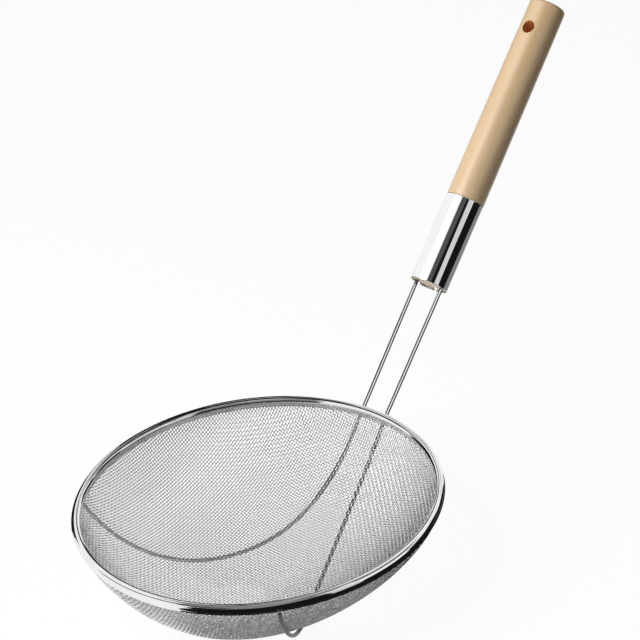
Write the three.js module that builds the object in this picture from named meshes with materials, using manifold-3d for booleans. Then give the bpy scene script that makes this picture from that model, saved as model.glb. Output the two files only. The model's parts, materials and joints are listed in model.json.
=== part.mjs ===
// Wire skimmer: a bowl of steel wire cloth held in a rolled rim, carried by two frame wires that come
// out of a wooden handle, pass under the rim and run beneath the bowl to the far side of the rim.
// Millimetres, +Z up, rim level, handle towards +X, left frame wire on the +Y side.

import * as THREE from 'three';
import { mergeVertices } from 'three/addons/utils/BufferGeometryUtils.js';
import loadManifold from 'manifold-3d';

const manifold = await loadManifold();
manifold.setup();

// Rolled rim
const rimDiameter = 200;
const bandThickness = 0.4;
const lipLength = 0.8;
const coreWireDiameter = 1.6;

// Bowl of wire cloth, drawn as an open net of fewer and broader strands
const clothThickness = 0.8;
const clothBelowLip = 1.1;
const hookAngle = 290;
const bowlDepth = 48.3;
const bowlLean = 33;
const floorPower = 2.32;
const wallPower = 1.21;
const strandPitch = 15.2;
const strandWidth = 2.2;
const strandThickness = 0.7;
const netEdgeShare = 0.97;
const stubShare = 0.86;

// Frame wires
const frameWireDiameter = 2.2;
const stemSpacing = 16;
const stemLength = 79.6;
const tailLength = 40;
const tailInset = 0.9;
const leftRibEndAngle = 116.5;
const leftRibBowPower = 3.3;
const rightRibEndAngle = 134.3;
const rightRibBowPower = 1.72;
const ribStandOff = 1.2;
const ribLiftStartShare = 0.6;
const ribLiftFullShare = 0.9;
const ribEdgeShare = 0.935;
const ribEndRise = 3;

// Handle and ferrule
const handleRise = 42;
const ferruleDiameter = 22.6;
const ferruleWall = 0.7;
const ferruleLength = 52.1;
const ferruleEdgeRound = 0.3;
const tenonRecess = 0.8;
const gripLength = 122.4;
const gripFrontDiameter = 22.1;
const gripEndDiameter = 21.3;
const gripFrontRound = 0.4;
const gripEndRound = 1.6;
const hangingHoleDiameter = 7.4;
const hangingHoleInset = 17.8;
const hangingHoleEase = 0.4;

// Clearance between pieces that are seated on each other
const seatGap = 0.3;

// Facets
const rimSegments = 52;
const wireSides = 8;
const wireSteps = 64;
const ribPoints = 20;
const turnedSegments = 36;

// Sizes that follow from those above
const ringRadius = rimDiameter / 2 - (coreWireDiameter / 2 + clothThickness + bandThickness + 2 * seatGap);
const beadRadius = rimDiameter / 2 - ringRadius;
const beadBore = beadRadius - bandThickness;
const coreRadius = coreWireDiameter / 2;
const hookInner = coreRadius + seatGap;
const hookOuter = hookInner + clothThickness;
const clothHalf = clothThickness / 2;
const lipInner = clothHalf + seatGap;
const lipOuter = lipInner + bandThickness;
const lipBottom = -beadRadius - lipLength;
const clothBottom = lipBottom - clothBelowLip;
const bowlEdge = clothBottom + strandThickness / 2;
const wireRadius = frameWireDiameter / 2;
const rise = THREE.MathUtils.degToRad(handleRise);
const handleAxis = new THREE.Vector3(Math.cos(rise), 0, Math.sin(rise));
const underside = new THREE.Vector3(Math.sin(rise), 0, -Math.cos(rise));
const ferruleRadius = ferruleDiameter / 2;
const ferruleBore = ferruleRadius - ferruleWall;
const tenonRadius = ferruleBore - seatGap;
const tailOffset = ferruleBore - tailInset - wireRadius;
const grooveRadius = wireRadius + seatGap;
const handleLength = ferruleLength + seatGap + gripLength;

const finish = {
  rim: new THREE.MeshStandardMaterial({ color: 0xd9dadb, roughness: 0.12, metalness: 1 }),
  cloth: new THREE.MeshStandardMaterial({ color: 0xc4c5c6, roughness: 0.3, metalness: 1 }),
  wire: new THREE.MeshStandardMaterial({ color: 0xc9cacb, roughness: 0.22, metalness: 1 }),
  ferrule: new THREE.MeshStandardMaterial({ color: 0xe4e5e6, roughness: 0.06, metalness: 1 }),
  wood: new THREE.MeshStandardMaterial({ color: 0xd6bd93, roughness: 0.45, metalness: 0 }),
};

// A solid to cut and join, from a geometry whose triangles close it, without those of no area
function solidOf(geometry) {
  const bare = geometry.clone();
  bare.deleteAttribute('normal');
  bare.deleteAttribute('uv');
  const merged = mergeVertices(bare, 1e-4);
  const corners = merged.index.array;
  const triangles = [];
  for (let k = 0; k < corners.length; k += 3) {
    const [a, b, c] = corners.slice(k, k + 3);
    if (a !== b && b !== c && c !== a) triangles.push(a, b, c);
  }
  return new manifold.Manifold(new manifold.Mesh({
    numProp: 3,
    vertProperties: new Float32Array(merged.attributes.position.array),
    triVerts: new Uint32Array(triangles),
  }));
}

function geometryOf(solid) {
  const { vertProperties, triVerts } = solid.getMesh();
  const geometry = new THREE.BufferGeometry();
  geometry.setAttribute('position', new THREE.BufferAttribute(new Float32Array(vertProperties), 3));
  geometry.setIndex(new THREE.BufferAttribute(new Uint32Array(triVerts), 1));
  geometry.computeVertexNormals();
  return geometry;
}

// A geometry from a list of points and a list of four-cornered faces, seen anticlockwise from outside
function quadGeometry(points, faces) {
  const geometry = new THREE.BufferGeometry().setFromPoints(points);
  geometry.setIndex(faces.flatMap(([a, b, c, d]) => [a, b, c, a, c, d]));
  return geometry;
}

// A profile of (radius, height) points turned about the Z axis
function turned(profile, segments) {
  return new THREE.LatheGeometry(profile, segments).rotateX(Math.PI / 2);
}

// Points of an arc in a profile, ends included, angles in degrees
function arc(x, y, radius, from, to, steps) {
  return Array.from({ length: steps + 1 }, (_, k) => {
    const angle = THREE.MathUtils.degToRad(from + ((to - from) * k) / steps);
    return new THREE.Vector2(x + radius * Math.cos(angle), y + radius * Math.sin(angle));
  });
}

// The angle, from straight down, at which an arc of this radius lies this far to one side
function angleAside(radius, aside) {
  return THREE.MathUtils.radToDeg(Math.asin(aside / radius));
}

// A closed section about the centre of the bead, turned round the rim
function rimRing(section) {
  const placed = section.map((p) => new THREE.Vector2(p.x + ringRadius, p.y));
  return turned([...placed, placed[0].clone()], rimSegments);
}

// Rim: sheet rolled into a bead that is open below, with two lips that grip the cloth
function rimBandGeometry() {
  const outer = angleAside(beadRadius, lipOuter);
  const inner = angleAside(beadBore, lipInner);
  return rimRing([
    ...arc(0, 0, beadRadius, outer - 90, 270 - outer, 12),
    new THREE.Vector2(-lipOuter, lipBottom),
    new THREE.Vector2(-lipInner, lipBottom),
    ...arc(0, 0, beadBore, 270 - inner, inner - 90, 8),
    new THREE.Vector2(lipInner, lipBottom),
    new THREE.Vector2(lipOuter, lipBottom),
  ]);
}

function rimCoreGeometry() {
  return new THREE.TorusGeometry(ringRadius, coreRadius, wireSides, rimSegments);
}

// Edge of the cloth: a strip that stands in the slit of the rim and hooks round the core wire
function clothEdgeGeometry() {
  const outer = angleAside(hookOuter, clothHalf);
  const inner = angleAside(hookInner, clothHalf);
  return rimRing([
    new THREE.Vector2(-clothHalf, clothBottom),
    new THREE.Vector2(clothHalf, clothBottom),
    ...arc(0, 0, hookOuter, outer - 90, hookAngle - 90, 7),
    ...arc(0, 0, hookInner, hookAngle - 90, -inner - 90, 6),
  ]);
}

// Bowl surface. Its level lines are circles. The level is 0 at the lowest point and 1 at the edge, and
// the centre of its circle moves from the bowl's lean to the rim's centre as the level rises.
function bowlSurface(x, y) {
  const along = x + bowlLean;
  const spread = ringRadius ** 2 - bowlLean ** 2;
  const root = Math.sqrt((along * bowlLean) ** 2 + spread * (along ** 2 + y ** 2));
  const level = (root - along * bowlLean) / spread;
  const inside = Math.max(1 - level ** floorPower, 1e-6);
  const wallRate = inside ** (1 / wallPower - 1) / wallPower;
  const climb = bowlDepth * wallRate * floorPower * level ** (floorPower - 1);
  const slopeX = root > 0 ? (climb * (along - bowlLean * level)) / root : 0;
  const slopeY = root > 0 ? (climb * y) / root : 0;
  return {
    level,
    point: new THREE.Vector3(x, y, bowlEdge - bowlDepth * inside ** (1 / wallPower)),
    slopeX,
    slopeY,
    inward: new THREE.Vector3(-slopeX, -slopeY, 1).normalize(),
  };
}

// The next crossing on a strand that leaves this one in a given direction, one pitch away
function alongStrand(from, stepX, stepY) {
  let reach = strandPitch / 2;
  let found = from;
  for (let turn = 0; turn < 20; turn += 1) {
    found = bowlSurface(from.point.x + stepX * reach, from.point.y + stepY * reach);
    const apart = found.point.clone().sub(from.point);
    const rate = apart.x * stepX + apart.y * stepY + apart.z * (found.slopeX * stepX + found.slopeY * stepY);
    reach -= (apart.lengthSq() - strandPitch ** 2) / (2 * rate);
  }
  return found;
}

// The crossing that lies one pitch from each of two neighbours, on the far side from the third
function acrossStrands(a, b, behind) {
  let x = a.point.x + b.point.x - behind.point.x;
  let y = a.point.y + b.point.y - behind.point.y;
  let found = bowlSurface(x, y);
  for (let turn = 0; turn < 20; turn += 1) {
    const [fromA, fromB] = [a, b].map((near) => {
      const apart = found.point.clone().sub(near.point);
      return {
        excess: (apart.lengthSq() - strandPitch ** 2) / 2,
        x: apart.x + apart.z * found.slopeX,
        y: apart.y + apart.z * found.slopeY,
      };
    });
    const turnRate = fromA.x * fromB.y - fromA.y * fromB.x;
    x -= (fromA.excess * fromB.y - fromB.excess * fromA.y) / turnRate;
    y -= (fromB.excess * fromA.x - fromA.excess * fromB.x) / turnRate;
    found = bowlSurface(x, y);
  }
  return found;
}

// Cloth draped over the bowl: strands keep their pitch along the surface, so the squares between them
// shear to diamonds away from the two middle strands. Crossings are kept by their strand numbers.
function drapedCrossings() {
  const crossings = new Map();
  const at = (i, j) => crossings.get(`${i} ${j}`);
  const keep = (i, j, crossing) => {
    const inReach = Number.isFinite(crossing.level) && crossing.level <= netEdgeShare;
    if (inReach) crossings.set(`${i} ${j}`, { ...crossing, i, j });
    return inReach;
  };
  keep(0, 0, bowlSurface(-bowlLean, 0));
  for (const way of [1, -1]) {
    let i = way;
    while (keep(i, 0, alongStrand(at(i - way, 0), way, 0))) i += way;
    let j = way;
    while (keep(0, j, alongStrand(at(0, j - way), 0, way))) j += way;
  }
  for (const wayI of [1, -1]) {
    for (const wayJ of [1, -1]) {
      for (let i = wayI; at(i, 0); i += wayI) {
        let j = wayJ;
        while (at(i - wayI, j) && at(i, j - wayJ)) {
          const behind = at(i - wayI, j - wayJ);
          if (!keep(i, j, acrossStrands(at(i - wayI, j), at(i, j - wayJ), behind))) break;
          j += wayJ;
        }
      }
    }
  }
  return { crossings, at };
}

// Direction of a strand at a crossing, from its neighbours, in the plane that touches the bowl there
function strandDirection(before, here, after, otherwise) {
  const ahead = (after ?? here).point.clone().sub((before ?? here).point);
  const direction = ahead.lengthSq() > 0 ? ahead : otherwise.clone();
  return direction.projectOnPlane(here.inward).normalize();
}

// Net: a plate at each crossing and a bar along each strand between two plates, as one skin inside and
// one outside the bowl, with a wall along every edge that no other face shares
function netGeometry({ crossings, at }) {
  const points = [];
  const faces = [];
  const firstCorner = new Map();
  for (const here of crossings.values()) {
    const { u, v } = here;
    const half = strandWidth / 2 / u.clone().cross(v).length();
    firstCorner.set(here, points.length);
    for (const [signU, signV] of [[-1, -1], [1, -1], [1, 1], [-1, 1]]) {
      const corner = here.point.clone().addScaledVector(u, signU * half).addScaledVector(v, signV * half);
      points.push(corner.clone().addScaledVector(here.inward, strandThickness / 2));
      points.push(corner.clone().addScaledVector(here.inward, -strandThickness / 2));
    }
  }
  const corner = (crossing, k) => firstCorner.get(crossing) + 2 * k;
  for (const here of crossings.values()) {
    const nextI = at(here.i + 1, here.j);
    const nextJ = at(here.i, here.j + 1);
    faces.push([0, 1, 2, 3].map((k) => corner(here, k)));
    if (nextI) faces.push([corner(here, 1), corner(nextI, 0), corner(nextI, 3), corner(here, 2)]);
    if (nextJ) faces.push([corner(here, 3), corner(here, 2), corner(nextJ, 1), corner(nextJ, 0)]);
  }
  const edges = faces.flatMap((face) => face.map((a, k) => [a, face[(k + 1) % 4]]));
  const shared = new Set(edges.map(([a, b]) => `${b} ${a}`));
  const free = edges.filter(([a, b]) => !shared.has(`${a} ${b}`));
  return quadGeometry(points, [
    ...faces,
    ...faces.map((face) => face.map((a) => a + 1).reverse()),
    ...free.map(([a, b]) => [b, a, a + 1, b + 1]),
  ]);
}

// End of a strand: a bar from its last crossing on to the edge of the cloth
function strandEndGeometry(here, direction) {
  const half = (stubShare * strandWidth) / 2;
  const thick = (stubShare * strandThickness) / 2;
  const aside = here.inward.clone().cross(direction);
  const onward = new THREE.Vector2(direction.x, direction.y).normalize();
  const points = [];
  const rimPoints = [];
  for (const [sign, side] of [[-1, 1], [1, 1], [1, -1], [-1, -1]]) {
    const near = here.point.clone().addScaledVector(aside, sign * half);
    const forward = near.x * onward.x + near.y * onward.y;
    const reach = Math.sqrt(forward ** 2 + ringRadius ** 2 - near.x ** 2 - near.y ** 2) - forward;
    const rim = new THREE.Vector3(near.x + onward.x * reach, near.y + onward.y * reach, 0);
    points.push(near.addScaledVector(here.inward, side * thick));
    rimPoints.push(rim.setLength(ringRadius - side * thick).setZ(bowlEdge));
  }
  return quadGeometry([...points, ...rimPoints], [
    [0, 1, 2, 3],
    [7, 6, 5, 4],
    ...[0, 1, 2, 3].map((k) => [k, k + 4, ((k + 1) % 4) + 4, (k + 1) % 4]),
  ]);
}

function meshBowlGeometry() {
  const { crossings, at } = drapedCrossings();
  for (const here of crossings.values()) {
    const alongX = new THREE.Vector3(1, 0, 0);
    here.u = strandDirection(at(here.i - 1, here.j), here, at(here.i + 1, here.j), alongX);
    const alongY = here.inward.clone().cross(here.u);
    here.v = strandDirection(at(here.i, here.j - 1), here, at(here.i, here.j + 1), alongY);
  }
  let bowl = solidOf(clothEdgeGeometry()).add(solidOf(netGeometry({ crossings, at })));
  for (const here of crossings.values()) {
    for (const way of [1, -1]) {
      const ends = [];
      if (!at(here.i + way, here.j)) ends.push(here.u.clone().multiplyScalar(way));
      if (!at(here.i, here.j + way)) ends.push(here.v.clone().multiplyScalar(way));
      for (const direction of ends) bowl = bowl.add(solidOf(strandEndGeometry(here, direction)));
    }
  }
  return geometryOf(bowl);
}

// The stems run straight under the rim, clear of the bead, its lip and the edge of the cloth
const underRim = Math.max(
  beadRadius,
  underside.dot(new THREE.Vector3(lipOuter, 0, lipBottom)),
  underside.dot(new THREE.Vector3(clothHalf, 0, clothBottom)),
) + seatGap + wireRadius;
const stemFoot = new THREE.Vector3(ringRadius, 0, 0).addScaledVector(underside, underRim);
const ferruleMouth = stemFoot.clone().addScaledVector(handleAxis, stemLength);

// Frame wire, from its tail in the handle, down the stem and along its rib to the far side of the rim.
// In plan the rib leaves the stem straight and bows aside by a power of the way it has gone. It ends
// below the outer lip of the rim.
function frameWirePath(side, endAngle, bowPower) {
  const end = THREE.MathUtils.degToRad(endAngle);
  const endX = ringRadius * Math.cos(end);
  const endY = ringRadius * Math.sin(end);
  const onStem = (distance, aside) => {
    const place = stemFoot.clone().addScaledVector(handleAxis, distance);
    return place.setY(side * aside);
  };
  const stemAside = (share) => THREE.MathUtils.lerp(stemSpacing / 2, tailOffset, share);
  const points = [
    onStem(stemLength + tailLength, tailOffset),
    onStem(stemLength + tailLength / 2, tailOffset),
    onStem(stemLength, tailOffset),
    onStem(stemLength / 2, stemAside(0.5)),
    onStem(stemLength / 8, stemAside(1 / 8)),
    onStem(0, stemSpacing / 2),
  ];
  const seat = strandThickness / 2 + seatGap + wireRadius;
  for (let k = 1; k < ribPoints; k += 1) {
    const share = k / ribPoints;
    const x = THREE.MathUtils.lerp(ringRadius, endX, share);
    const y = side * THREE.MathUtils.lerp(stemSpacing / 2, endY, share ** bowPower);
    const { level, point, inward } = bowlSurface(x, y);
    const standOff = ribStandOff * THREE.MathUtils.smoothstep(share, ribLiftStartShare, ribLiftFullShare);
    if (level < ribEdgeShare) points.push(point.addScaledVector(inward, -seat - standOff));
  }
  const endRadius = ringRadius + clothHalf + seatGap + wireRadius;
  for (const below of [ribEndRise, 0]) {
    const z = lipBottom - seatGap - below;
    points.push(new THREE.Vector3(endRadius * Math.cos(end), side * endRadius * Math.sin(end), z));
  }
  const path = new THREE.CatmullRomCurve3(points, false, 'centripetal');
  path.arcLengthDivisions = 800;
  return path;
}

function frameWireGeometry(side, endAngle, bowPower) {
  const section = new THREE.Shape(arc(0, 0, wireRadius, 0, 360 - 360 / wireSides, wireSides - 1));
  const extrudePath = frameWirePath(side, endAngle, bowPower);
  return new THREE.ExtrudeGeometry(section, { steps: wireSteps, extrudePath, bevelEnabled: false });
}

// Handle, turned about its own Z axis, which starts at the mouth of the ferrule: tenon, then grip
function handleGeometry() {
  const shoulder = ferruleLength + seatGap;
  const front = gripFrontDiameter / 2;
  const end = gripEndDiameter / 2;
  const body = solidOf(turned([
    new THREE.Vector2(0, tenonRecess),
    new THREE.Vector2(tenonRadius, tenonRecess),
    new THREE.Vector2(tenonRadius, shoulder),
    ...arc(front - gripFrontRound, shoulder + gripFrontRound, gripFrontRound, -90, 0, 3),
    ...arc(end - gripEndRound, handleLength - gripEndRound, gripEndRound, 0, 90, 5),
    new THREE.Vector2(0, handleLength),
  ], turnedSegments));
  const holeRadius = hangingHoleDiameter / 2;
  const holeReach = gripFrontDiameter / 2 + seatGap;
  const easeFrom = end - hangingHoleEase;
  const holeMouth = holeRadius + holeReach - easeFrom;
  const hole = turned([
    new THREE.Vector2(0, -holeReach),
    new THREE.Vector2(holeMouth, -holeReach),
    new THREE.Vector2(holeRadius, -easeFrom),
    new THREE.Vector2(holeRadius, easeFrom),
    new THREE.Vector2(holeMouth, holeReach),
    new THREE.Vector2(0, holeReach),
  ], turnedSegments / 2).rotateY(Math.PI / 2).translate(0, 0, handleLength - hangingHoleInset);
  return geometryOf(body.subtract(solidOf(hole)).subtract(tailGroove(1)).subtract(tailGroove(-1)));
}

// Groove for the tail of a frame wire: round at the bottom, open to the side of the tenon and its end
function tailGroove(side) {
  const opening = tenonRadius + grooveRadius;
  const outline = new THREE.Shape([
    new THREE.Vector2(-grooveRadius, opening),
    ...arc(0, tailOffset, grooveRadius, 180, 360, wireSides),
    new THREE.Vector2(grooveRadius, opening),
  ]);
  const groove = new THREE.ExtrudeGeometry(outline, {
    depth: tailLength + seatGap,
    bevelEnabled: false,
    steps: 1,
  });
  return solidOf(side > 0 ? groove : groove.rotateZ(Math.PI));
}

// Ferrule: a thin tube with its outer edges rounded
function ferruleGeometry() {
  const round = Math.min(ferruleEdgeRound, ferruleWall / 2);
  const profile = [
    new THREE.Vector2(ferruleBore, 0),
    ...arc(ferruleRadius - round, round, round, -90, 0, 3),
    ...arc(ferruleRadius - round, ferruleLength - round, round, 0, 90, 3),
    new THREE.Vector2(ferruleBore, ferruleLength),
    new THREE.Vector2(ferruleBore, 0),
  ];
  return turned(profile, turnedSegments);
}

function piece(name, geometry, material) {
  const mesh = new THREE.Mesh(geometry, material);
  mesh.name = name;
  return mesh;
}

const handleGroup = new THREE.Group();
handleGroup.position.copy(ferruleMouth);
handleGroup.rotation.y = Math.PI / 2 - rise;
handleGroup.add(
  piece('handle', handleGeometry(), finish.wood),
  piece('ferrule', ferruleGeometry(), finish.ferrule),
);

const leftWire = frameWireGeometry(1, leftRibEndAngle, leftRibBowPower);
const rightWire = frameWireGeometry(-1, rightRibEndAngle, rightRibBowPower);

const skimmer = new THREE.Group();
skimmer.add(
  piece('rim_band', rimBandGeometry(), finish.rim),
  piece('rim_core_wire', rimCoreGeometry(), finish.wire),
  piece('mesh_bowl', meshBowlGeometry(), finish.cloth),
  piece('left_frame_wire', leftWire, finish.wire),
  piece('right_frame_wire', rightWire, finish.wire),
  handleGroup,
);

// Origin below the middle of the whole, level with its lowest point
const extent = new THREE.Box3().setFromObject(skimmer, true);
const middle = extent.getCenter(new THREE.Vector3());
skimmer.position.set(-middle.x, -middle.y, -extent.min.z);

export default skimmer;
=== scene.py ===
import json
import math

import bpy
import numpy as np
from mathutils import Matrix, Vector


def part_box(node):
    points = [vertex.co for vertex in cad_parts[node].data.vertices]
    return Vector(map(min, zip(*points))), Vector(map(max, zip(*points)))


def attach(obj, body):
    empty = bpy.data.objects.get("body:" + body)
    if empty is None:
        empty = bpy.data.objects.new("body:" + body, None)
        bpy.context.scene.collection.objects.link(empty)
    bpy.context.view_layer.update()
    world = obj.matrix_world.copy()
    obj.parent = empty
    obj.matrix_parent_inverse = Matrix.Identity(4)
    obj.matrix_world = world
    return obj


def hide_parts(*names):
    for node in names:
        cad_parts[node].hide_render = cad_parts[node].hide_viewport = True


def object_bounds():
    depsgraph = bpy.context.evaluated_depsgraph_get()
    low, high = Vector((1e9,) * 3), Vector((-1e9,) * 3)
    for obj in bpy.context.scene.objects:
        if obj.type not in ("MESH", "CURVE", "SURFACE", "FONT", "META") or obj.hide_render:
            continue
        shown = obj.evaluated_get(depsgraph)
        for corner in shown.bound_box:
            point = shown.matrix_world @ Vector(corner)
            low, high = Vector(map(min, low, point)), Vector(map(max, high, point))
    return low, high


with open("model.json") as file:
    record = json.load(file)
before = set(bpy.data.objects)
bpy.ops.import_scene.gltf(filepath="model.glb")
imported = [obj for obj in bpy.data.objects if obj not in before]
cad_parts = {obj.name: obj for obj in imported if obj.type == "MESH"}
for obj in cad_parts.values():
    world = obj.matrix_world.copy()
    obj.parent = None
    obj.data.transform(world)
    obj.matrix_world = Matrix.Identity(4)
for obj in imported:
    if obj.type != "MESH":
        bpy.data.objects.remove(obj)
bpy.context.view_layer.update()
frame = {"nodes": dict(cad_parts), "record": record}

mm = 0.001

# Places that the frame gives: the rim's middle, the handle's end and its own three directions
rimLow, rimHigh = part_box("rim_band")
mounts = {mount["name"]: mount for mount in frame["record"]["mounts"]}
handleEnd = np.array(mounts["handle_end"]["pos_m"])
handleAxis = np.array(mounts["handle_end"]["axis"])
holeCentre = np.array(mounts["hanging_hole"]["pos_m"])
handleTop = np.array(mounts["hanging_hole"]["axis"])
handleSide = np.array([0.0, 1.0, 0.0])
# Turns Object coordinates so that their Z runs along the handle
handleTurn = (0, -math.atan2(handleAxis[0], handleAxis[2]), 0)
print("frame loaded, rim", round((rimHigh.x - rimLow.x) / mm, 1), "mm across")


# Meshes

def gridQuads(rows, cols, closeRows=False, closeCols=True):
    # Corners of the faces of a grid of points, facing along (row direction) x (column direction)
    r = np.arange(rows if closeRows else rows - 1)[:, None]
    c = np.arange(cols if closeCols else cols - 1)[None, :]
    rNext = (r + 1) % rows
    cNext = (c + 1) % cols
    corners = (r * cols + c, rNext * cols + c, rNext * cols + cNext, r * cols + cNext)
    return np.stack(np.broadcast_arrays(*corners), axis=-1).reshape(-1, 4)


def cappedQuads(rows, cols, flip=False):
    # Faces of a grid whose rows are rings, with a cap on the first and on the last ring
    first = np.arange(cols)
    last = (rows - 1) * cols + first
    caps = [first[::-1], last] if flip else [first, last[::-1]]
    return [gridQuads(rows, cols), np.stack(caps)]


def roundAngles(count):
    return np.linspace(0, 2 * math.pi, count, endpoint=False)


def meshObject(name, points, faces, material, sharpAngle=None):
    # Points are rows of x, y, z, and faces is a list of arrays, each with one face a row
    corners = np.concatenate([part.ravel() for part in faces]).astype(np.int32)
    sizes = np.concatenate([np.full(len(part), part.shape[1]) for part in faces])
    starts = (np.cumsum(sizes) - sizes).astype(np.int32)
    mesh = bpy.data.meshes.new(name)
    mesh.vertices.add(len(points))
    mesh.vertices.foreach_set("co", points.astype(np.float32).ravel())
    mesh.loops.add(len(corners))
    mesh.loops.foreach_set("vertex_index", corners)
    mesh.polygons.add(len(starts))
    mesh.polygons.foreach_set("loop_start", starts)
    mesh.update(calc_edges=True)
    mesh.validate()
    mesh.shade_smooth()
    if sharpAngle:
        mesh.set_sharp_from_angle(angle=math.radians(sharpAngle))
    mesh.materials.append(material)
    thing = bpy.data.objects.new(name, mesh)
    bpy.context.scene.collection.objects.link(thing)
    return thing


def seat(piece, node):
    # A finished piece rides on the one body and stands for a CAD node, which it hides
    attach(piece, "root")
    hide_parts(node)
    print("  piece", piece.name, len(piece.data.vertices), "points")


def unit(vectors):
    return vectors / np.linalg.norm(vectors, axis=-1, keepdims=True)


def arc(x, y, radius, start, stop, steps):
    # Points of a circle's arc in a plane, angles in degrees, ends included
    angle = np.radians(np.linspace(start, stop, steps + 1))
    return np.stack([x + radius * np.cos(angle), y + radius * np.sin(angle)], axis=1)


# Materials

noiseRange = (0.3, 0.7)  # noises seldom leave it
noiseDetail = {"cloud": 3, "line": 4, "ring": 4, "grain": 6, "fleck": 2, "drill": 4}


def newMaterial(name):
    material = bpy.data.materials.new(name)
    material.use_nodes = True
    nodes = material.node_tree.nodes
    links = material.node_tree.links
    return material, nodes, links, nodes["Principled BSDF"]


def mappedNoise(nodes, links, scale, detail, turn=(0, 0, 0), stretch=(1, 1, 1)):
    # Noise on Object coordinates that are turned, then stretched
    place = nodes.new("ShaderNodeTexCoord")
    turned = nodes.new("ShaderNodeMapping")
    turned.inputs["Rotation"].default_value = turn
    stretched = nodes.new("ShaderNodeMapping")
    stretched.inputs["Scale"].default_value = stretch
    noise = nodes.new("ShaderNodeTexNoise")
    noise.inputs["Scale"].default_value = scale
    noise.inputs["Detail"].default_value = detail
    links.new(place.outputs["Object"], turned.inputs["Vector"])
    links.new(turned.outputs["Vector"], stretched.inputs["Vector"])
    links.new(stretched.outputs["Vector"], noise.inputs["Vector"])
    return noise.outputs["Fac"]


def handleNoise(nodes, links, look, kind):
    # Noise stretched along the handle, by the scale and the stretch that the look gives for this kind
    stretch = (1, 1, look[f"{kind}Stretch"])
    return mappedNoise(nodes, links, look[f"{kind}Scale"], noiseDetail[kind], handleTurn, stretch)


def spread(nodes, links, value, low, high, source=noiseRange):
    # A value from a noise, spread from its source range to the range from low to high
    ranged = nodes.new("ShaderNodeMapRange")
    ranged.inputs["From Min"].default_value = source[0]
    ranged.inputs["From Max"].default_value = source[1]
    ranged.inputs["To Min"].default_value = low
    ranged.inputs["To Max"].default_value = high
    links.new(value, ranged.inputs["Value"])
    return ranged.outputs["Result"]


def colourRamp(nodes, links, value, positions, colours):
    ramp = nodes.new("ShaderNodeValToRGB")
    ramp.color_ramp.elements[0].position = positions[0]
    ramp.color_ramp.elements[1].position = positions[-1]
    for position in positions[1:-1]:
        ramp.color_ramp.elements.new(position)
    for element, colour in zip(ramp.color_ramp.elements, colours):
        element.color = (*colour, 1)
    links.new(value, ramp.inputs["Fac"])
    return ramp.outputs["Color"]


def mixColours(nodes, links, share, first, second):
    mix = nodes.new("ShaderNodeMix")
    mix.data_type = "RGBA"
    for socket, value in (("Factor_Float", share), ("A_Color", first), ("B_Color", second)):
        target = next(s for s in mix.inputs if s.identifier == socket)
        if hasattr(value, "links"):
            links.new(value, target)
        else:
            target.default_value = value
    return next(s for s in mix.outputs if s.identifier == "Result_Color")


def bumped(nodes, links, shader, height, distance):
    bump = nodes.new("ShaderNodeBump")
    bump.inputs["Distance"].default_value = distance
    bump.inputs["Strength"].default_value = 1.0
    links.new(height, bump.inputs["Height"])
    links.new(bump.outputs["Normal"], shader.inputs["Normal"])


def metalMaterial(look):
    # Bare or plated metal: its tint and polish vary a little, with fine lines drawn along the handle
    material, nodes, links, shader = newMaterial(look["name"])
    shader.inputs["Metallic"].default_value = 1.0
    cloudy = mappedNoise(nodes, links, look["cloudScale"], noiseDetail["cloud"])
    tint = colourRamp(nodes, links, cloudy, noiseRange, (look["shade"], look["colour"]))
    links.new(tint, shader.inputs["Base Color"])
    lines = handleNoise(nodes, links, look, "line")
    links.new(spread(nodes, links, lines, *look["roughness"]), shader.inputs["Roughness"])
    bumped(nodes, links, shader, lines, look["lineDepth"])
    return material


rimLook = {
    "name": "rolled_bright_steel",
    "colour": (0.88, 0.885, 0.89),
    "shade": (0.80, 0.805, 0.81),
    "roughness": (0.05, 0.11),
    "cloudScale": 60,
    "lineScale": 900,
    "lineStretch": 1.0,
    "lineDepth": 0.0005 * mm,
}
# Both tones of the wire are set far darker than bright drawn wire: painted shade, for the dark surroundings
# that the wires reflect and for the rib's shade under the cloth.
wirePaintedDarkLook = {
    "name": "drawn_bright_wire",
    "colour": (0.29, 0.295, 0.30),
    "shade": (0.25, 0.255, 0.26),
    "roughness": (0.12, 0.20),
    "cloudScale": 140,
    "lineScale": 2600,
    "lineStretch": 0.05,
    "lineDepth": 0.0008 * mm,
}
meshLook = {
    "name": "woven_steel_wire",
    "colour": (0.76, 0.765, 0.775),
    "shade": (0.60, 0.605, 0.615),
    "roughness": (0.14, 0.22),
    "cloudScale": 400,
    "lineScale": 3000,
    "lineStretch": 0.3,
    "lineDepth": 0.001 * mm,
}
ferruleLook = {
    "name": "mirror_plated_ferrule",
    "colour": (0.93, 0.935, 0.94),
    "shade": (0.88, 0.885, 0.89),
    "roughness": (0.02, 0.05),
    "cloudScale": 50,
    "lineScale": 1800,
    "lineStretch": 0.04,
    "lineDepth": 0.0006 * mm,
}
woodLook = {
    "pale": (0.64, 0.46, 0.27),
    "warm": (0.59, 0.395, 0.205),
    "dark": (0.47, 0.29, 0.135),
    "ringScale": 95,
    "ringStretch": 0.035,
    "bandPlaces": (0.36, 0.52, 0.64),
    "grainScale": 1500,
    "grainStretch": 0.025,
    "grainShare": 0.35,
    "fleckScale": 2600,
    "fleckStretch": 0.07,
    "fleckShare": 0.5,
    "fleckRange": (0.66, 0.76),
    "grainDepth": 0.02 * mm,
    "roughness": (0.36, 0.52),
    "lacquer": 1.0,
    "lacquerRoughness": 0.42,
}
# Tones of the hole's wall, brighter than the wood is: painted light for the shaded hole.
drilledLook = {
    "scorched": (0.62, 0.22, 0.06),
    "brown": (0.80, 0.44, 0.18),
    "tintRange": (0.35, 0.65),
    "drillScale": 900,
    "drillStretch": 0.15,
    "drillDepth": 0.05 * mm,
    "roughness": 0.7,
}


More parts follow.
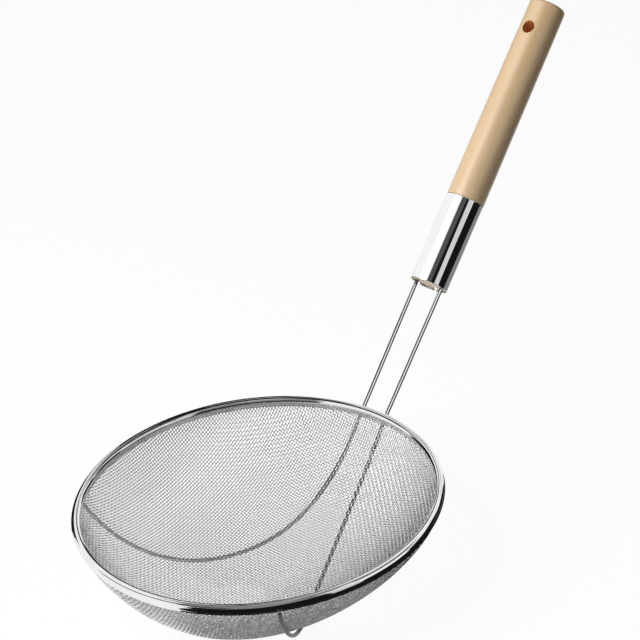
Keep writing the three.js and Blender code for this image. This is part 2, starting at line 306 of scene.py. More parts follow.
def woodMaterial():
    # Pale hardwood under satin lacquer: broad growth bands, fine grain and short dark flecks, which all run
    # along the handle
    material, nodes, links, shader = newMaterial("lacquered_pale_wood")
    look = woodLook
    rings = handleNoise(nodes, links, look, "ring")
    grain = handleNoise(nodes, links, look, "grain")
    fleck = handleNoise(nodes, links, look, "fleck")
    bandColours = (look["warm"], look["pale"], look["warm"])
    bands = colourRamp(nodes, links, rings, look["bandPlaces"], bandColours)
    warmth = spread(nodes, links, grain, 0.0, look["grainShare"])
    grained = mixColours(nodes, links, warmth, bands, (*look["warm"], 1))
    dashes = spread(nodes, links, fleck, 0.0, look["fleckShare"], look["fleckRange"])
    tint = mixColours(nodes, links, dashes, grained, (*look["dark"], 1))
    links.new(tint, shader.inputs["Base Color"])
    links.new(spread(nodes, links, grain, *look["roughness"]), shader.inputs["Roughness"])
    shader.inputs["Coat Weight"].default_value = look["lacquer"]
    shader.inputs["Coat Roughness"].default_value = look["lacquerRoughness"]
    bumped(nodes, links, shader, grain, look["grainDepth"])
    return material


def drilledMaterial():
    # Wall of the drilled hole: bare wood, browned by the drill. Both tones are set brighter than that wood:
    # painted light that makes up for the shade inside the hole.
    material, nodes, links, shader = newMaterial("drilled_wood_painted_light")
    look = drilledLook
    grain = handleNoise(nodes, links, look, "drill")
    tint = colourRamp(nodes, links, grain, look["tintRange"], (look["scorched"], look["brown"]))
    links.new(tint, shader.inputs["Base Color"])
    shader.inputs["Roughness"].default_value = look["roughness"]
    bumped(nodes, links, shader, grain, look["drillDepth"])
    return material


rimSteel = metalMaterial(rimLook)
wireSteelPaintedDark = metalMaterial(wirePaintedDarkLook)
meshSteel = metalMaterial(meshLook)
ferrulePlate = metalMaterial(ferruleLook)
handleWood = woodMaterial()
drilledWood = drilledMaterial()
print("materials made")


# Rolled rim

rim = {
    "beadRadius": 2.6 * mm,
    "sheet": 0.4 * mm,
    "slitHalf": 0.7 * mm,
    "lipLength": 0.8 * mm,
    "stepsRound": 288,
    "beadSteps": 40,
    "lipSteps": 6,
    "crease": 50,
}
rimRadius = (rimHigh.x - rimLow.x) / 2
ringRadius = rimRadius - rim["beadRadius"]
rimCentre = np.array([
    (rimLow.x + rimHigh.x) / 2,
    (rimLow.y + rimHigh.y) / 2,
    rimHigh.z - rim["beadRadius"],
])


def rimSection():
    # Sheet rolled round the bead's centre and open below: an arc of the outer radius over the top, a lip
    # down with a half-round end, back up, an arc of the inner radius, and the other lip
    outer = rim["beadRadius"]
    inner = outer - rim["sheet"]
    half = rim["sheet"] / 2
    lipMiddle = rim["slitHalf"] + half
    lipEnd = -outer - rim["lipLength"] + half
    outerTurn = math.degrees(math.asin((rim["slitHalf"] + rim["sheet"]) / outer))
    innerTurn = math.degrees(math.asin(rim["slitHalf"] / inner))
    return np.concatenate([
        arc(0, 0, outer, outerTurn - 90, 270 - outerTurn, rim["beadSteps"]),
        arc(-lipMiddle, lipEnd, half, 180, 360, rim["lipSteps"]),
        arc(0, 0, inner, 270 - innerTurn, innerTurn - 90, rim["beadSteps"] // 2),
        arc(lipMiddle, lipEnd, half, 180, 360, rim["lipSteps"]),
    ])


def rimBand():
    # The section carried round a circle: point = centre + (ring radius + section x) outwards + section y up
    section = rimSection()
    angle = roundAngles(rim["stepsRound"])[:, None]
    radius = ringRadius + section[None, :, 0]
    height = np.broadcast_to(section[None, :, 1], (rim["stepsRound"], len(section)))
    points = np.stack([radius * np.cos(angle), radius * np.sin(angle), height], axis=-1) + rimCentre
    faces = gridQuads(rim["stepsRound"], len(section), closeRows=True)
    return meshObject("rolled_rim", points.reshape(-1, 3), [faces], rimSteel, rim["crease"])


seat(rimBand(), "rim_band")
frame["nodes"]["rim_core_wire"].data.materials.clear()
frame["nodes"]["rim_core_wire"].data.materials.append(wireSteelPaintedDark)


# Bowl surface

bowl = {
    "depth": 48.3 * mm,
    "lean": 33 * mm,
    "floorPower": 2.32,
    "wallPower": 1.21,
    "edgeBelow": 4.15 * mm,
    "slitReach": 3.1 * mm,
    "spare": 16 * mm,
    "tableSteps": 6000,
    "smallStep": 4e-4,
}


def wallTable():
    # The wall from the lowest point to the edge, as level circles of growing radius, by share of its length
    shape = np.linspace(0, 1, bowl["tableSteps"]) ** 2
    level = 1 - (1 - shape) ** 2
    drop = np.clip(1 - level ** bowl["floorPower"], 0, None) ** (1 / bowl["wallPower"])
    height = -bowl["edgeBelow"] - bowl["depth"] * drop
    length = np.concatenate([[0], np.cumsum(np.hypot(ringRadius * np.diff(level), np.diff(height)))])
    return level, height, length / length[-1], length[-1]


wallLevel, wallHeight, wallShare, wallLength = wallTable()


def bowlPoint(q):
    # The distance of q from 0 is the share of the wall's length and its angle goes round the bowl. A level
    # circle has radius (ring radius x level) and a centre that moves from the lean to the rim's middle.
    # Past the edge the cloth stands straight up in the slit of the rim.
    share = np.linalg.norm(q, axis=-1)
    safe = np.where(share > 0, share, 1)
    level = np.interp(share, wallShare, wallLevel)
    height = np.interp(share, wallShare, wallHeight) + np.clip(share - 1, 0, None) * wallLength
    x = ringRadius * level * q[..., 0] / safe - bowl["lean"] * (1 - level)
    y = ringRadius * level * q[..., 1] / safe
    return np.stack([x, y, height], axis=-1)


def bowlSlopes(q):
    # How the point moves with each coordinate of q, by small steps both ways
    small = bowl["smallStep"]
    steps = small * np.eye(2)
    return [(bowlPoint(q + step) - bowlPoint(q - step)) / (2 * small) for step in steps]


def bowlInward(q):
    alongX, alongY = bowlSlopes(q)
    return unit(np.cross(alongX, alongY))


def planShare(x, y):
    # The q of the bowl's point above a place in plan, from the level circle that passes there
    along = x + bowl["lean"]
    width = ringRadius ** 2 - bowl["lean"] ** 2
    root = np.sqrt((along * bowl["lean"]) ** 2 + width * (along ** 2 + y ** 2))
    level = (root - along * bowl["lean"]) / width
    angle = np.arctan2(y, along - bowl["lean"] * level)
    share = np.interp(level, wallLevel, wallShare)
    return np.stack([share * np.cos(angle), share * np.sin(angle)], axis=-1)


# Woven cloth

cloth = {
    "pitch": 1.5875 * mm,
    "wire": 0.47 * mm,
    "turn": -3.0,
    "reach": 110,
    "sides": 6,
    "crown": 1.02,
    "quarter": 0.24,
    "bundles": 3,
    "newtonSteps": 12,
    "crease": 60,
}


def middleWire(direction):
    # Crossings on a middle wire: even steps along the wall in one direction in plan
    aside = math.asin(bowl["lean"] * math.sin(direction) / ringRadius)
    ray = np.array([math.cos(direction + aside), math.sin(direction + aside)])
    share = np.linspace(0, 1 + bowl["spare"] / wallLength, bowl["tableSteps"])
    points = bowlPoint(share[:, None] * ray)
    length = np.concatenate([[0], np.cumsum(np.linalg.norm(np.diff(points, axis=0), axis=1))])
    steps = cloth["pitch"] * np.arange(1, cloth["reach"] + 1)
    return np.interp(steps, length, share, right=np.nan)[:, None] * ray


def nextCrossing(a, b, behind):
    # The crossing one pitch from each of two neighbours, by Newton steps from their diamond's far corner
    q = a + b - behind
    ends = [bowlPoint(a), bowlPoint(b)]
    for _ in range(cloth["newtonSteps"]):
        slopes = bowlSlopes(q)
        point = bowlPoint(q)
        gaps = [point - end for end in ends]
        excess = [((gap ** 2).sum(-1) - cloth["pitch"] ** 2) / 2 for gap in gaps]
        (ax, ay), (bx, by) = [[(gap * slope).sum(-1) for slope in slopes] for gap in gaps]
        spanned = ax * by - ay * bx
        move = np.stack([excess[0] * by - excess[1] * ay, excess[1] * ax - excess[0] * bx], -1)
        q = q - move / spanned[..., None]
    return q


def drapedCloth():
    # A flat cloth laid over the bowl: wires keep their pitch and the squares shear to diamonds. Two middle
    # wires cross at the lowest point, and each quarter is filled outwards, one slanting row of crossings at
    # a time. The spare cloth that stands above the slit of the rim is cut off at the end.
    reach = cloth["reach"]
    q = np.full((2 * reach + 1, 2 * reach + 1, 2), np.nan)
    q[reach, reach] = 0
    turn = math.radians(cloth["turn"])
    q[reach + 1:, reach] = middleWire(turn)
    q[:reach, reach] = middleWire(turn + math.pi)[::-1]
    q[reach, reach + 1:] = middleWire(turn + math.pi / 2)
    q[reach, :reach] = middleWire(turn - math.pi / 2)[::-1]
    limit = 1 + bowl["spare"] / wallLength
    for wayI, wayJ in ((1, 1), (1, -1), (-1, 1), (-1, -1)):
        for row in range(2, 2 * reach + 1):
            i = np.arange(max(1, row - reach), min(reach, row - 1) + 1)
            j = row - i
            atI, atJ = reach + wayI * i, reach + wayJ * j
            a, b = q[atI - wayI, atJ], q[atI, atJ - wayJ]
            behind = q[atI - wayI, atJ - wayJ]
            known = np.isfinite(a[:, 0] + b[:, 0] + behind[:, 0])
            if not known.any():
                continue
            found = nextCrossing(a[known], b[known], behind[known])
            found[~(np.linalg.norm(found, axis=1) <= limit)] = np.nan
            q[atI[known], atJ[known]] = found
    q[np.linalg.norm(q, axis=-1) > 1 + bowl["slitReach"] / wallLength] = np.nan
    return q


def wovenWires(points, inward, side):
    # Round wires along the first index of the grid. At each crossing a wire lies half its thickness to one
    # side of the cloth, the other way at the next, and has a ring a quarter pitch before and after it.
    known = np.isfinite(points[..., 0])
    ahead = np.full_like(points, np.nan)
    ahead[1:-1] = points[2:] - points[:-2]
    ahead[:-1] = np.where(np.isfinite(ahead[:-1]), ahead[:-1], points[1:] - points[:-1])
    ahead[1:] = np.where(np.isfinite(ahead[1:]), ahead[1:], points[1:] - points[:-1])
    known &= np.isfinite(ahead[..., 0])
    number = np.full(known.shape, -1)
    number[known] = np.arange(known.sum())
    i, j = np.nonzero(known)
    tangent = unit(ahead[known])
    normal = inward[known]
    normal = unit(normal - (normal * tangent).sum(-1, keepdims=True) * tangent)
    across = np.cross(tangent, normal)
    radius = cloth["wire"] / 2
    offset = side * radius * cloth["crown"] * np.where((i + j) % 2 == 0, 1, -1)
    middle = points[known] + offset[:, None] * normal
    angle = roundAngles(cloth["sides"])[:, None]
    ring = radius * (np.cos(angle) * normal[:, None, :] - np.sin(angle) * across[:, None, :])
    shift = cloth["quarter"] * cloth["pitch"] * tangent
    rings = np.stack([middle - shift, middle + shift], axis=1)[:, :, None, :] + ring[:, None, :, :]
    sides = np.arange(cloth["sides"])
    sidesNext = (sides + 1) % cloth["sides"]

    def bridge(first, second):
        first, second = first[:, None] * cloth["sides"], second[:, None] * cloth["sides"]
        corners = [first + sides, second + sides, second + sidesNext, first + sidesNext]
        return np.stack(corners, -1).reshape(-1, 4)

    both = known[:-1] & known[1:]
    fromHere = number[:-1][both]
    toNext = number[1:][both]
    starts = number[1:][known[1:] & ~known[:-1]]
    stops = number[:-1][known[:-1] & ~known[1:]]
    every = np.arange(known.sum())
    faces = [
        np.concatenate([bridge(2 * every, 2 * every + 1), bridge(2 * fromHere + 1, 2 * toNext)]),
        np.concatenate([
            2 * starts[:, None] * cloth["sides"] + sides,
            (2 * stops[:, None] + 1) * cloth["sides"] + sides[::-1],
        ]),
    ]
    return rings.reshape(-1, 3) + rimCentre, faces


def wovenBowl():
    q = drapedCloth()
    points = bowlPoint(q)
    inward = bowlInward(q)
    print("cloth draped,", int(np.isfinite(q[..., 0]).sum()), "crossings")
    swap = (1, 0, 2)
    families = (
        ("mesh_long_wires", points, inward, 1),
        ("mesh_cross_wires", points.transpose(swap), inward.transpose(swap), -1),
    )
    for name, crossings, normals, side in families:
        used = np.nonzero(np.isfinite(crossings[..., 0]).any(axis=0))[0]
        for part, wires in enumerate(np.array_split(used, cloth["bundles"]), 1):
            # A bundle that begins with an odd wire begins on the other side of the cloth
            bundleSide = side if wires[0] % 2 == 0 else -side
            wirePoints, faces = wovenWires(crossings[:, wires], normals[:, wires], bundleSide)
            bundle = meshObject(f"{name}_{part}", wirePoints, faces, meshSteel, cloth["crease"])
            seat(bundle, "mesh_bowl")


wovenBowl()


# Frame wires

frameWire = {
    "radius": 1.1 * mm,
    "stemSpacing": 16 * mm,
    "stemLength": 79.6 * mm,
    "stemShares": (1, 0.5, 0.125, 0),
    "tailLength": 40 * mm,
    "tailOffset": 8.6 * mm,
    "ribPoints": 20,
    "clothGap": 0.05 * mm,
    "standOff": 1.2 * mm,
    "liftStart": 0.6,
    "liftFull": 0.9,
    "edgeShare": 0.935,
    "endRise": 3 * mm,
    "endRadius": 99.05 * mm,
    "endBelow": 3.5 * mm,
    "endRound": 0.9 * mm,
    "tipShare": 0.02,
    "sides": 20,
    "stepsPerSpan": 12,
    "crease": 50,
}
frameWires = {
    "left_frame_wire": {"side": 1, "endAngle": 116.5, "bowPower": 3.3},
    "right_frame_wire": {"side": -1, "endAngle": 134.3, "bowPower": 1.72},
}
handle = {
    "length": 174.8 * mm,
    "shoulder": 52.4 * mm,
    "tenonRecess": 0.8 * mm,
    "tenonRadius": 10.3 * mm,
    "tenonRound": 0.25 * mm,
    "tenonSteps": 4,
    "frontRadius": 11.05 * mm,
    "frontRound": 0.45 * mm,
    "frontSteps": 6,
    "endRadius": 10.65 * mm,
    "endRound": 1.7 * mm,
    "endSteps": 12,
    "grooveRadius": 1.4 * mm,
    "grooveLength": 40.3 * mm,
    "grooveRunOut": 0.2 * mm,
    "grooveSteps": 12,
    "segments": 192,
    "gripSteps": 150,
    "holeRadius": 3.7 * mm,
    "holeEase": 0.5 * mm,
    "holeSteps": 8,
    "holeSegments": 64,
    "crease": 38,
}
ferruleMouth = handleEnd - handle["length"] * handleAxis
stemFoot = ferruleMouth - frameWire["stemLength"] * handleAxis


def smoothPath(points, steps):
    # Centripetal spline: a cubic through each pair of points, with slopes weighted by the distances' roots
    ends = [2 * points[:1] - points[1:2], points, 2 * points[-1:] - points[-2:-1]]
    padded = np.concatenate(ends)
    gaps = np.sqrt(np.linalg.norm(np.diff(padded, axis=0), axis=1))[:, None]
    rates = np.diff(padded, axis=0) / gaps
    slopes = rates[:-1] + rates[1:] - (padded[2:] - padded[:-2]) / (gaps[:-1] + gaps[1:])
    start, stop = slopes[:-1] * gaps[1:-1], slopes[1:] * gaps[1:-1]
    p, pNext = points[:-1], points[1:]
    t = np.linspace(0, 1, steps, endpoint=False)[:, None, None]
    square = 3 * (pNext - p) - 2 * start - stop
    cube = 2 * (p - pNext) + start + stop
    curve = p + t * start + t ** 2 * square + t ** 3 * cube
    return np.concatenate([curve.transpose(1, 0, 2).reshape(-1, 3), points[-1:]])


def framePath(side, endAngle, bowPower):
    # From the tail in the handle, down the stem, then close under the cloth. In plan the rib leaves the
    # stem straight and bows aside by a power of the way it has gone. It lifts off the cloth towards the
    # far rim and ends below it.
    end = math.radians(endAngle)
    half = frameWire["stemSpacing"] / 2
    tail = frameWire["tailLength"] / frameWire["stemLength"]
    along = np.array([1 + tail, 1 + tail / 2, *frameWire["stemShares"]])
    aside = np.interp(along, [0, 1], [half, frameWire["tailOffset"]])
    stem = stemFoot + along[:, None] * frameWire["stemLength"] * handleAxis
    stem[:, 1] = side * aside
    share = np.arange(1, frameWire["ribPoints"]) / frameWire["ribPoints"]
    x = ringRadius + (ringRadius * math.cos(end) - ringRadius) * share
    y = side * (half + (ringRadius * math.sin(end) - half) * share ** bowPower)
    q = planShare(x, y)
    liftStart, liftFull = frameWire["liftStart"], frameWire["liftFull"]
    lift = np.clip((share - liftStart) / (liftFull - liftStart), 0, 1)
    lift = lift ** 2 * (3 - 2 * lift)
    below = cloth["wire"] + frameWire["clothGap"] + frameWire["radius"] + lift * frameWire["standOff"]
    rib = bowlPoint(q) - below[:, None] * bowlInward(q)
    level = np.interp(np.linalg.norm(q, axis=1), wallShare, wallLevel)
    rib = rib[level < frameWire["edgeShare"]] + rimCentre
    outward = np.array([math.cos(end), side * math.sin(end), 0])
    down = np.array([frameWire["endBelow"] + frameWire["endRise"], frameWire["endBelow"]])
    tip = rimCentre + frameWire["endRadius"] * outward - down[:, None] * np.array([0, 0, 1])
    return smoothPath(np.concatenate([stem, rib, tip]), frameWire["stepsPerSpan"])


def frameWirePiece(name, side, endAngle, bowPower):
    # A circle carried along the path, with its far end rounded
    path = framePath(side, endAngle, bowPower)
    tangent = unit(np.gradient(path, axis=0))
    aside = unit(np.cross(tangent, np.array([0, side, 0])))
    across = np.cross(tangent, aside)
    toTip = np.linalg.norm(path - path[-1], axis=1) / frameWire["endRound"]
    toTip = np.clip(toTip, frameWire["tipShare"], 1)
    radius = frameWire["radius"] * np.sqrt(1 - (1 - toTip) ** 2)
    angle = roundAngles(frameWire["sides"])[:, None]
    ring = np.cos(angle) * aside[:, None, :] - np.sin(angle) * across[:, None, :]
    points = path[:, None, :] + radius[:, None, None] * ring
    faces = cappedQuads(len(path), frameWire["sides"])
    return meshObject(name, points.reshape(-1, 3), faces, wireSteelPaintedDark, frameWire["crease"])


for node, bend in frameWires.items():
    seat(frameWirePiece(f"bent_{node}", **bend), node)


# Handle and ferrule

def turned(radius, along):
    # Each row of radii goes once round the handle's axis, at its distance from the ferrule's mouth
    angle = roundAngles(radius.shape[1])[:, None]
    outward = np.cos(angle) * handleTop + np.sin(angle) * handleSide
    return ferruleMouth + along[:, None, None] * handleAxis + radius[..., None] * outward


def handleBody():
    # Tenon, shoulder and tapered grip with a rounded end as one turned profile. On the tenon the radius
    # dips into a round-bottomed groove on either side for the tail of a frame wire.
    size = handle
    tenon, recess, shoulder = size["tenonRadius"], size["tenonRecess"], size["shoulder"]
    front, frontRound = size["frontRadius"], size["frontRound"]
    end, endRound, length = size["endRadius"], size["endRound"], size["length"]
    share = np.linspace(0, 1, size["gripSteps"])[1:-1]
    gripStart, gripStop = shoulder + frontRound, length - endRound
    grip = np.stack([front + (end - front) * share, gripStart + (gripStop - gripStart) * share], axis=1)
    tenonRound = size["tenonRound"]
    grooveRows = np.linspace(recess + tenonRound, size["grooveLength"], size["grooveSteps"])[1:]
    grooveEnd = size["grooveLength"] + size["grooveRunOut"]
    profile = np.concatenate([
        arc(tenon - tenonRound, recess + tenonRound, tenonRound, -90, 0, size["tenonSteps"]),
        np.stack([np.full_like(grooveRows, tenon), grooveRows], axis=1),
        [[tenon, grooveEnd], [tenon, shoulder]],
        arc(front - frontRound, shoulder + frontRound, frontRound, -90, 0, size["frontSteps"]),
        grip,
        arc(end - endRound, length - endRound, endRound, 0, 90, size["endSteps"]),
    ])
    angle = roundAngles(size["segments"])
    offset = frameWire["tailOffset"]
    lateral = offset * np.abs(np.cos(angle))
    deep = np.clip(size["grooveRadius"] ** 2 - lateral ** 2, 0, None)
    bottom = np.where(deep > 0, offset * np.abs(np.sin(angle)) - np.sqrt(deep), np.inf)
    grooved = profile[:, 1] < grooveEnd
    radius = np.where(grooved[:, None], np.minimum(profile[:, :1], bottom[None, :]), profile[:, :1])
    points = turned(radius, profile[:, 1])
    faces = cappedQuads(len(profile), size["segments"])
    return meshObject("turned_handle", points.reshape(-1, 3), faces, handleWood)


def holeCutter():
    # The drill's path: a cylinder that flares at both ends, so that the hole's edges are eased
    end, ease = handle["endRadius"], handle["holeEase"]
    flare = arc(handle["holeRadius"] + ease, end - ease, ease, 180, 90, handle["holeSteps"])
    flare = np.concatenate([flare, [[handle["holeRadius"] + 2 * ease, end + 2 * ease]]])
    profile = np.concatenate([flare[::-1], [[handle["holeRadius"], 0]], flare * [1, -1]])[::-1]
    angle = roundAngles(handle["holeSegments"])[None, :, None]
    outward = np.cos(angle) * handleSide + np.sin(angle) * np.cross(handleTop, handleSide)
    points = holeCentre + profile[:, None, 1:] * handleTop + profile[:, None, :1] * outward
    faces = cappedQuads(len(profile), handle["holeSegments"], flip=True)
    return meshObject("hole_cutter", points.reshape(-1, 3), faces, drilledWood)


def drilledHandle():
    body = handleBody()
    cutter = holeCutter()
    cut = body.modifiers.new("hanging_hole", "BOOLEAN")
    cut.operation = "DIFFERENCE"
    cut.solver = "EXACT"
    cut.material_mode = "TRANSFER"
    cut.object = cutter
    shown = bpy.context.evaluated_depsgraph_get()
    mesh = bpy.data.meshes.new_from_object(body.evaluated_get(shown))
    body.modifiers.clear()
    body.data = mesh
    bpy.data.objects.remove(cutter)
    mesh.shade_smooth()
    mesh.set_sharp_from_angle(angle=math.radians(handle["crease"]))
    return body


seat(drilledHandle(), "handle")

ferrule = {
    "radius": 11.3 * mm,
    "wall": 0.7 * mm,
    "length": 52.1 * mm,
    "edgeRound": 0.25 * mm,
    "outerSteps": 6,
    "innerSteps": 4,
    "segments": 192,
    "crease": 50,
}


def ferruleTube():
    # A thin tube: up the outer wall, round the edge, down the bore and round the mouth
    outer, inner = ferrule["radius"], ferrule["radius"] - ferrule["wall"]
    length, edge = ferrule["length"], ferrule["edgeRound"]
    profile = np.concatenate([
        arc(outer - edge, edge, edge, -90, 0, ferrule["outerSteps"]),
        [[outer, 2 * edge], [outer, length - 2 * edge]],
        arc(outer - edge, length - edge, edge, 0, 90, ferrule["outerSteps"]),
        arc(inner + edge, length - edge, edge, 90, 180, ferrule["innerSteps"]),
        arc(inner + edge, edge, edge, 180, 270, ferrule["innerSteps"]),
    ])
    points = turned(np.repeat(profile[:, :1], ferrule["segments"], axis=1), profile[:, 1])
    faces = gridQuads(len(profile), ferrule["segments"], closeRows=True)
    return meshObject("plated_ferrule", points.reshape(-1, 3), [faces], ferrulePlate, ferrule["crease"])


seat(ferruleTube(), "ferrule")
print("pieces made")


# Camera, fitted to the rim's ellipse and the handle

view = {
    "azimuth": -138.2,
    "elevation": 30.405,
    "roll": -6.624,
    "distance": 1500 * mm,
    "right": 33.1 * mm,
    "up": 95.2 * mm,
    "lens": 158.6,
    "sensor": 36.0,
}


def makeCamera():
    azimuth, elevation = math.radians(view["azimuth"]), math.radians(view["elevation"])
    away = Vector((
        math.cos(elevation) * math.cos(azimuth),
        math.cos(elevation) * math.sin(azimuth),
        math.sin(elevation),
    ))
    level = Vector((-math.sin(azimuth), math.cos(azimuth), 0))
    upright = away.cross(level)
    roll = math.radians(view["roll"])
    right = math.cos(roll) * level + math.sin(roll) * upright
    up = -math.sin(roll) * level + math.cos(roll) * upright
    data = bpy.data.cameras.new("camera")
    data.lens = view["lens"]
    data.sensor_width = view["sensor"]
    camera = bpy.data.objects.new("camera", data)
    bpy.context.scene.collection.objects.link(camera)
    place = Vector(rimCentre) + view["distance"] * away + view["right"] * right + view["up"] * up
    turn = Matrix((right, up, away)).transposed()
    camera.matrix_world = Matrix.Translation(place) @ turn.to_4x4()
    bpy.context.scene.camera = camera


makeCamera()


# Studio: white floor and surroundings, a large soft lamp at the left, and glowing flags that only
# reflections show: painted reflections, dark and light, on the metal

studio = {
    "floorSize": 8.0,
    "floorBelow": 0.4 * mm,
    "floorColour": (0.9, 0.9, 0.9, 1),
    "floorRoughness": 0.9,
    "floorGlow": 0.93,
    "worldFill": 0.08,
    "keyDirection": (-0.65, 0.25, 0.72),
    "keyDistance": 1.3,
    "keySize": 1.0,
    "keyPower": 21.0,
    "clothPower": 9.0,
    "stemPlace": (-0.025, -0.075, 0.166),
    "stemSize": 0.14,
    "stemPower": 0.034,
    "stemSpread": 80,
    "bouncePlace": (-0.202, -0.094, 0.002),
    "bounceSize": 0.22,
    "bouncePower": 0.042,
}
# Corners that the far flags share, in plan. Metres, as in all flags.
leftCorner = (-2.70, -1.12)
nearCorner = (-0.746, -2.884)
stripCorner = (0.21, -2.94)
rightCorner = (2.5, -2.94)
# Upright flags: both ends in plan, lowest and highest place, and how bright they are
wallFlags = {
    "camera_flag": {"ends": (leftCorner, nearCorner), "heights": (0.0, 2.75), "shade": 0.01},
    "camera_high_flag": {"ends": (leftCorner, nearCorner), "heights": (2.75, 4.75), "shade": 0.085},
    "camera_left_flag": {"ends": ((-3.4, 0.2), leftCorner), "heights": (0.0, 2.2), "shade": 0.01},
    "strip_flag": {"ends": (nearCorner, stripCorner), "heights": (0.0, 3.0), "shade": 0.68},
    "horizon_flag": {"ends": (stripCorner, rightCorner), "heights": (0.0, 0.78), "shade": 0.008},
    "far_left_flag": {"ends": ((-0.16, 0.40), (0.05, 0.40)), "heights": (0.0, 0.21), "shade": 0.01},
    "far_flag": {"ends": ((0.05, 0.40), (0.17, 0.40)), "heights": (0.0, 0.10), "shade": 0.01},
    "far_right_flag": {"ends": ((0.25, 0.40), (0.39, 0.40)), "heights": (0.12, 0.75), "shade": 0.01},
    "behind_flag": {"ends": ((-0.055, 0.16), (0.04, 0.16)), "heights": (0.03, 0.165), "shade": 0.01},
    "behind_right_flag": {"ends": ((0.04, 0.16), (0.075, 0.16)), "heights": (0.03, 0.12), "shade": 0.01},
    "right_flag": {"ends": (rightCorner, (2.5, -0.4)), "heights": (0.0, 1.8), "shade": 0.01},
    "right_low_flag": {"ends": ((2.5, -0.4), (2.5, 0.05)), "heights": (0.0, 1.25), "shade": 0.01},
}
# Level flags: the sides in x and y, the height and how bright they are
levelFlags = {
    "floor_flag": {"x": (-3.4, 0.0), "y": (-2.94, -0.01), "height": 0.0005, "shade": 0.008},
    "right_floor_flag": {"x": (0.0, 2.5), "y": (-2.94, -0.035), "height": 0.0005, "shade": 0.008},
    "bowl_floor_flag": {"x": (-0.12, 0.0), "y": (-0.015, 0.1), "height": 0.001, "shade": 0.5},
    "above_flag": {"x": (-0.06, 0.012), "y": (0.05, 0.128), "height": 0.165, "shade": 0.01},
    "left_above_flag": {"x": (-0.272, -0.236), "y": (-0.07, 0.2), "height": 0.14, "shade": 0.02},
    "above_back_flag": {"x": (-0.004, 0.03), "y": (0.128, 0.16), "height": 0.165, "shade": 0.01},
    "far_floor_flag": {"x": (-0.14, 0.05), "y": (0.11, 0.40), "height": 0.0005, "shade": 0.01},
    "ferrule_floor_flag": {"x": (0.19, 0.33), "y": (-0.24, -0.04), "height": 0.001, "shade": 0.24},
    "low_left_flag": {"x": (-0.75, -0.2), "y": (-0.5, 0.12), "height": 0.45, "shade": 0.25},
    "low_middle_flag": {"x": (-0.2, -0.06), "y": (-0.285, -0.16), "height": 0.45, "shade": 0.085},
    "low_right_flag": {"x": (-0.03, 0.3), "y": (-0.40, -0.08), "height": 0.45, "shade": 0.2},
    "overhead_flag": {"x": (-0.35, 0.4), "y": (-0.4, 0.42), "height": 1.0, "shade": 0.35},
    "far_overhead_flag": {"x": (-0.12, 0.3), "y": (0.2, 0.57), "height": 0.99, "shade": 0.02},
}


def backgroundShare(nodes, links):
    # 1 for rays that show the background: from the camera, in metal and through glass
    path = nodes.new("ShaderNodeLightPath")
    total = path.outputs["Is Camera Ray"]
    for name in ("Is Glossy Ray", "Is Transmission Ray"):
        add = nodes.new("ShaderNodeMath")
        add.operation = "ADD"
        add.use_clamp = True
        links.new(total, add.inputs[0])
        links.new(path.outputs[name], add.inputs[1])
        total = add.outputs["Value"]
    return total


def whiteFloor():
    half = studio["floorSize"] / 2
    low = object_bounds()[0].z - studio["floorBelow"]
    corners = np.array([[-half, -half, low], [half, -half, low], [half, half, low], [-half, half, low]])
    material, nodes, links, shader = newMaterial("white_floor")
    shader.inputs["Base Color"].default_value = studio["floorColour"]
    shader.inputs["Roughness"].default_value = studio["floorRoughness"]
    shader.inputs["Specular IOR Level"].default_value = 0.0
    glow = nodes.new("ShaderNodeEmission")
    glow.inputs["Color"].default_value = (1, 1, 1, 1)
    share = nodes.new("ShaderNodeMath")
    share.operation = "MULTIPLY"
    share.inputs[1].default_value = studio["floorGlow"]
    links.new(backgroundShare(nodes, links), share.inputs[0])
    mix = nodes.new("ShaderNodeMixShader")
    links.new(share.outputs["Value"], mix.inputs["Fac"])
    links.new(shader.outputs["BSDF"], mix.inputs[1])
    links.new(glow.outputs["Emission"], mix.inputs[2])
    links.new(mix.outputs["Shader"], nodes["Material Output"].inputs["Surface"])
    floor = meshObject("floor", corners, [np.array([[0, 1, 2, 3]])], material)


def whiteWorld():
    world = bpy.data.worlds.new("studio")
    bpy.context.scene.world = world
    world.use_nodes = True
    nodes, links = world.node_tree.nodes, world.node_tree.links
    background = nodes["Background"]
    background.inputs["Color"].default_value = (1, 1, 1, 1)
    fill = nodes.new("ShaderNodeMapRange")
    fill.inputs["To Min"].default_value = studio["worldFill"]
    fill.inputs["To Max"].default_value = 1.0
    links.new(backgroundShare(nodes, links), fill.inputs["Value"])
    links.new(fill.outputs["Result"], background.inputs["Strength"])


def areaLamp(name, size, power, place, direction):
    # A round lamp at the place, facing along the direction
    data = bpy.data.lights.new(name, "AREA")
    data.shape = "DISK"
    data.size = size
    data.energy = power
    lamp = bpy.data.objects.new(name, data)
    bpy.context.scene.collection.objects.link(lamp)
    lamp.location = place
    lamp.rotation_euler = direction.to_track_quat("-Z", "Y").to_euler()
    lamp.visible_camera = False
    return lamp


def lightOnly(lamp, chosen):
    # Limits the lamp to the chosen pieces
    receivers = bpy.data.collections.new(f"{lamp.name}_receivers")
    for piece in chosen:
        receivers.objects.link(piece)
    lamp.light_linking.receiver_collection = receivers


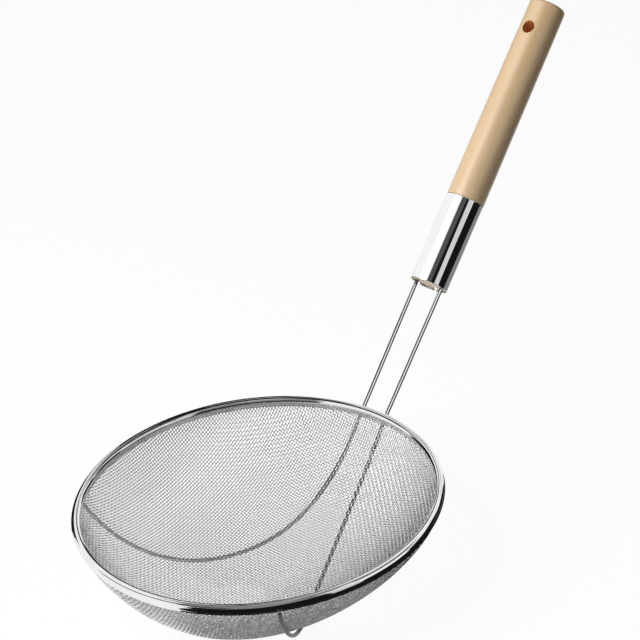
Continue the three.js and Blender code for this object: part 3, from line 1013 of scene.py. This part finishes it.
def studioLamps():
    # The key would burn out the wires and the rim. The cloth gets a weaker one from the same place, the
    # wires a small lamp aimed at the stems, and the cloth and the right wire a bounce from below.
    shapes = [thing for thing in bpy.data.objects if thing.type == "MESH"]
    away = Vector(studio["keyDirection"]).normalized()
    place = Vector(stemFoot) + studio["keyDistance"] * away
    key = areaLamp("key", studio["keySize"], studio["keyPower"], place, -away)
    lightOnly(key, [thing for thing in shapes if not thing.name.startswith(("bent_", "rolled_", "mesh_"))])
    weak = areaLamp("weak_key", studio["keySize"], studio["clothPower"], place, -away)
    lightOnly(weak, [thing for thing in shapes if thing.name.startswith("mesh_")])
    place = Vector(studio["stemPlace"])
    aim = Vector((stemFoot + ferruleMouth) / 2) - place
    stem = areaLamp("stem", studio["stemSize"], studio["stemPower"], place, aim)
    stem.data.spread = math.radians(studio["stemSpread"])
    lightOnly(stem, [thing for thing in shapes if thing.name.startswith("bent_")])
    up = Vector((0, 0, 1))
    bounce = areaLamp("bounce", studio["bounceSize"], studio["bouncePower"], studio["bouncePlace"], up)
    lightOnly(bounce, [thing for thing in shapes if thing.name.startswith(("mesh_", "bent_right"))])


def darkFlag(name, corners, shade):
    # A glowing sheet that only reflections show, as bright as its shade says: a painted reflection, not a
    # lamp
    material, nodes, links, _ = newMaterial(name)
    glow = nodes.new("ShaderNodeEmission")
    glow.inputs["Strength"].default_value = shade
    links.new(glow.outputs["Emission"], nodes["Material Output"].inputs["Surface"])
    flag = meshObject(name, np.array(corners), [np.array([[0, 1, 2, 3]])], material)
    flag.visible_camera = False
    flag.visible_diffuse = False
    flag.visible_shadow = False
    flag.visible_transmission = False


def darkFlags():
    for name, flag in wallFlags.items():
        low, high = flag["heights"]
        (x0, y0), (x1, y1) = flag["ends"]
        darkFlag(name, [(x0, y0, low), (x1, y1, low), (x1, y1, high), (x0, y0, high)], flag["shade"])
    for name, flag in levelFlags.items():
        (x0, x1), (y0, y1), z = flag["x"], flag["y"], flag["height"]
        darkFlag(name, [(x0, y0, z), (x1, y0, z), (x1, y1, z), (x0, y1, z)], flag["shade"])


whiteFloor()
whiteWorld()
studioLamps()
darkFlags()
bpy.context.scene.view_settings.view_transform = "Standard"
print("studio set")
